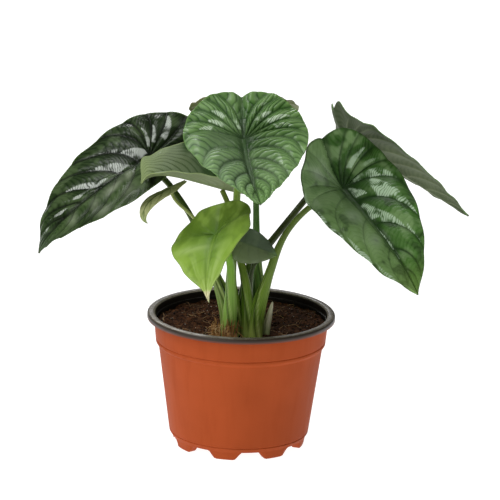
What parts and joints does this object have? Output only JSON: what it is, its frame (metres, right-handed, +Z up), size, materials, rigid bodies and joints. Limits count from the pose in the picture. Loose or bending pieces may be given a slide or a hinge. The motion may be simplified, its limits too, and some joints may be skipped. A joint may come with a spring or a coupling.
{
  "type": "potted mirror face alocasia",
  "caption": "Potted mirror face alocasia: quilted heart-shaped leaves on long sheathed stems, rising from potting mix in a moulded terracotta grower pot with a dark lip.",
  "frame": {"origin": "centre of the pot's underside, on the surface that the pot stands on", "axes": "+Z up; -Y towards the viewer of the picture; +X to the viewer's right"},
  "size_m": [0.3585, 0.2462, 0.3004],
  "materials": {
    "terracotta_plastic": "satin, with the lip and the inside nearly black",
    "potting_mix": "matt, crumbly",
    "dry_sheath": "matt, fibrous",
    "pale_spike": "satin",
    "leaf_stem": "satin",
    "leaf_blade": "glossy above, matt and paler below"
  },
  "bodies": {
    "root": {"pot": "terracotta_plastic", "potting_mix": "potting_mix", "old_sheath": "dry_sheath", "new_spike": "pale_spike", "left_stem": "leaf_stem", "left_blade": "leaf_blade", "centre_stem": "leaf_stem", "centre_blade": "leaf_blade", "side_stem": "leaf_stem", "side_blade": "leaf_blade", "small_stem": "leaf_stem", "small_blade": "leaf_blade", "young_stem": "leaf_stem", "young_blade": "leaf_blade", "dark_stem": "leaf_stem", "dark_blade": "leaf_blade", "back_stem": "leaf_stem", "back_blade": "leaf_blade", "right_stem": "leaf_stem", "right_blade": "leaf_blade", "far_stem": "leaf_stem", "far_blade": "leaf_blade"}
  },
  "joints": []
}
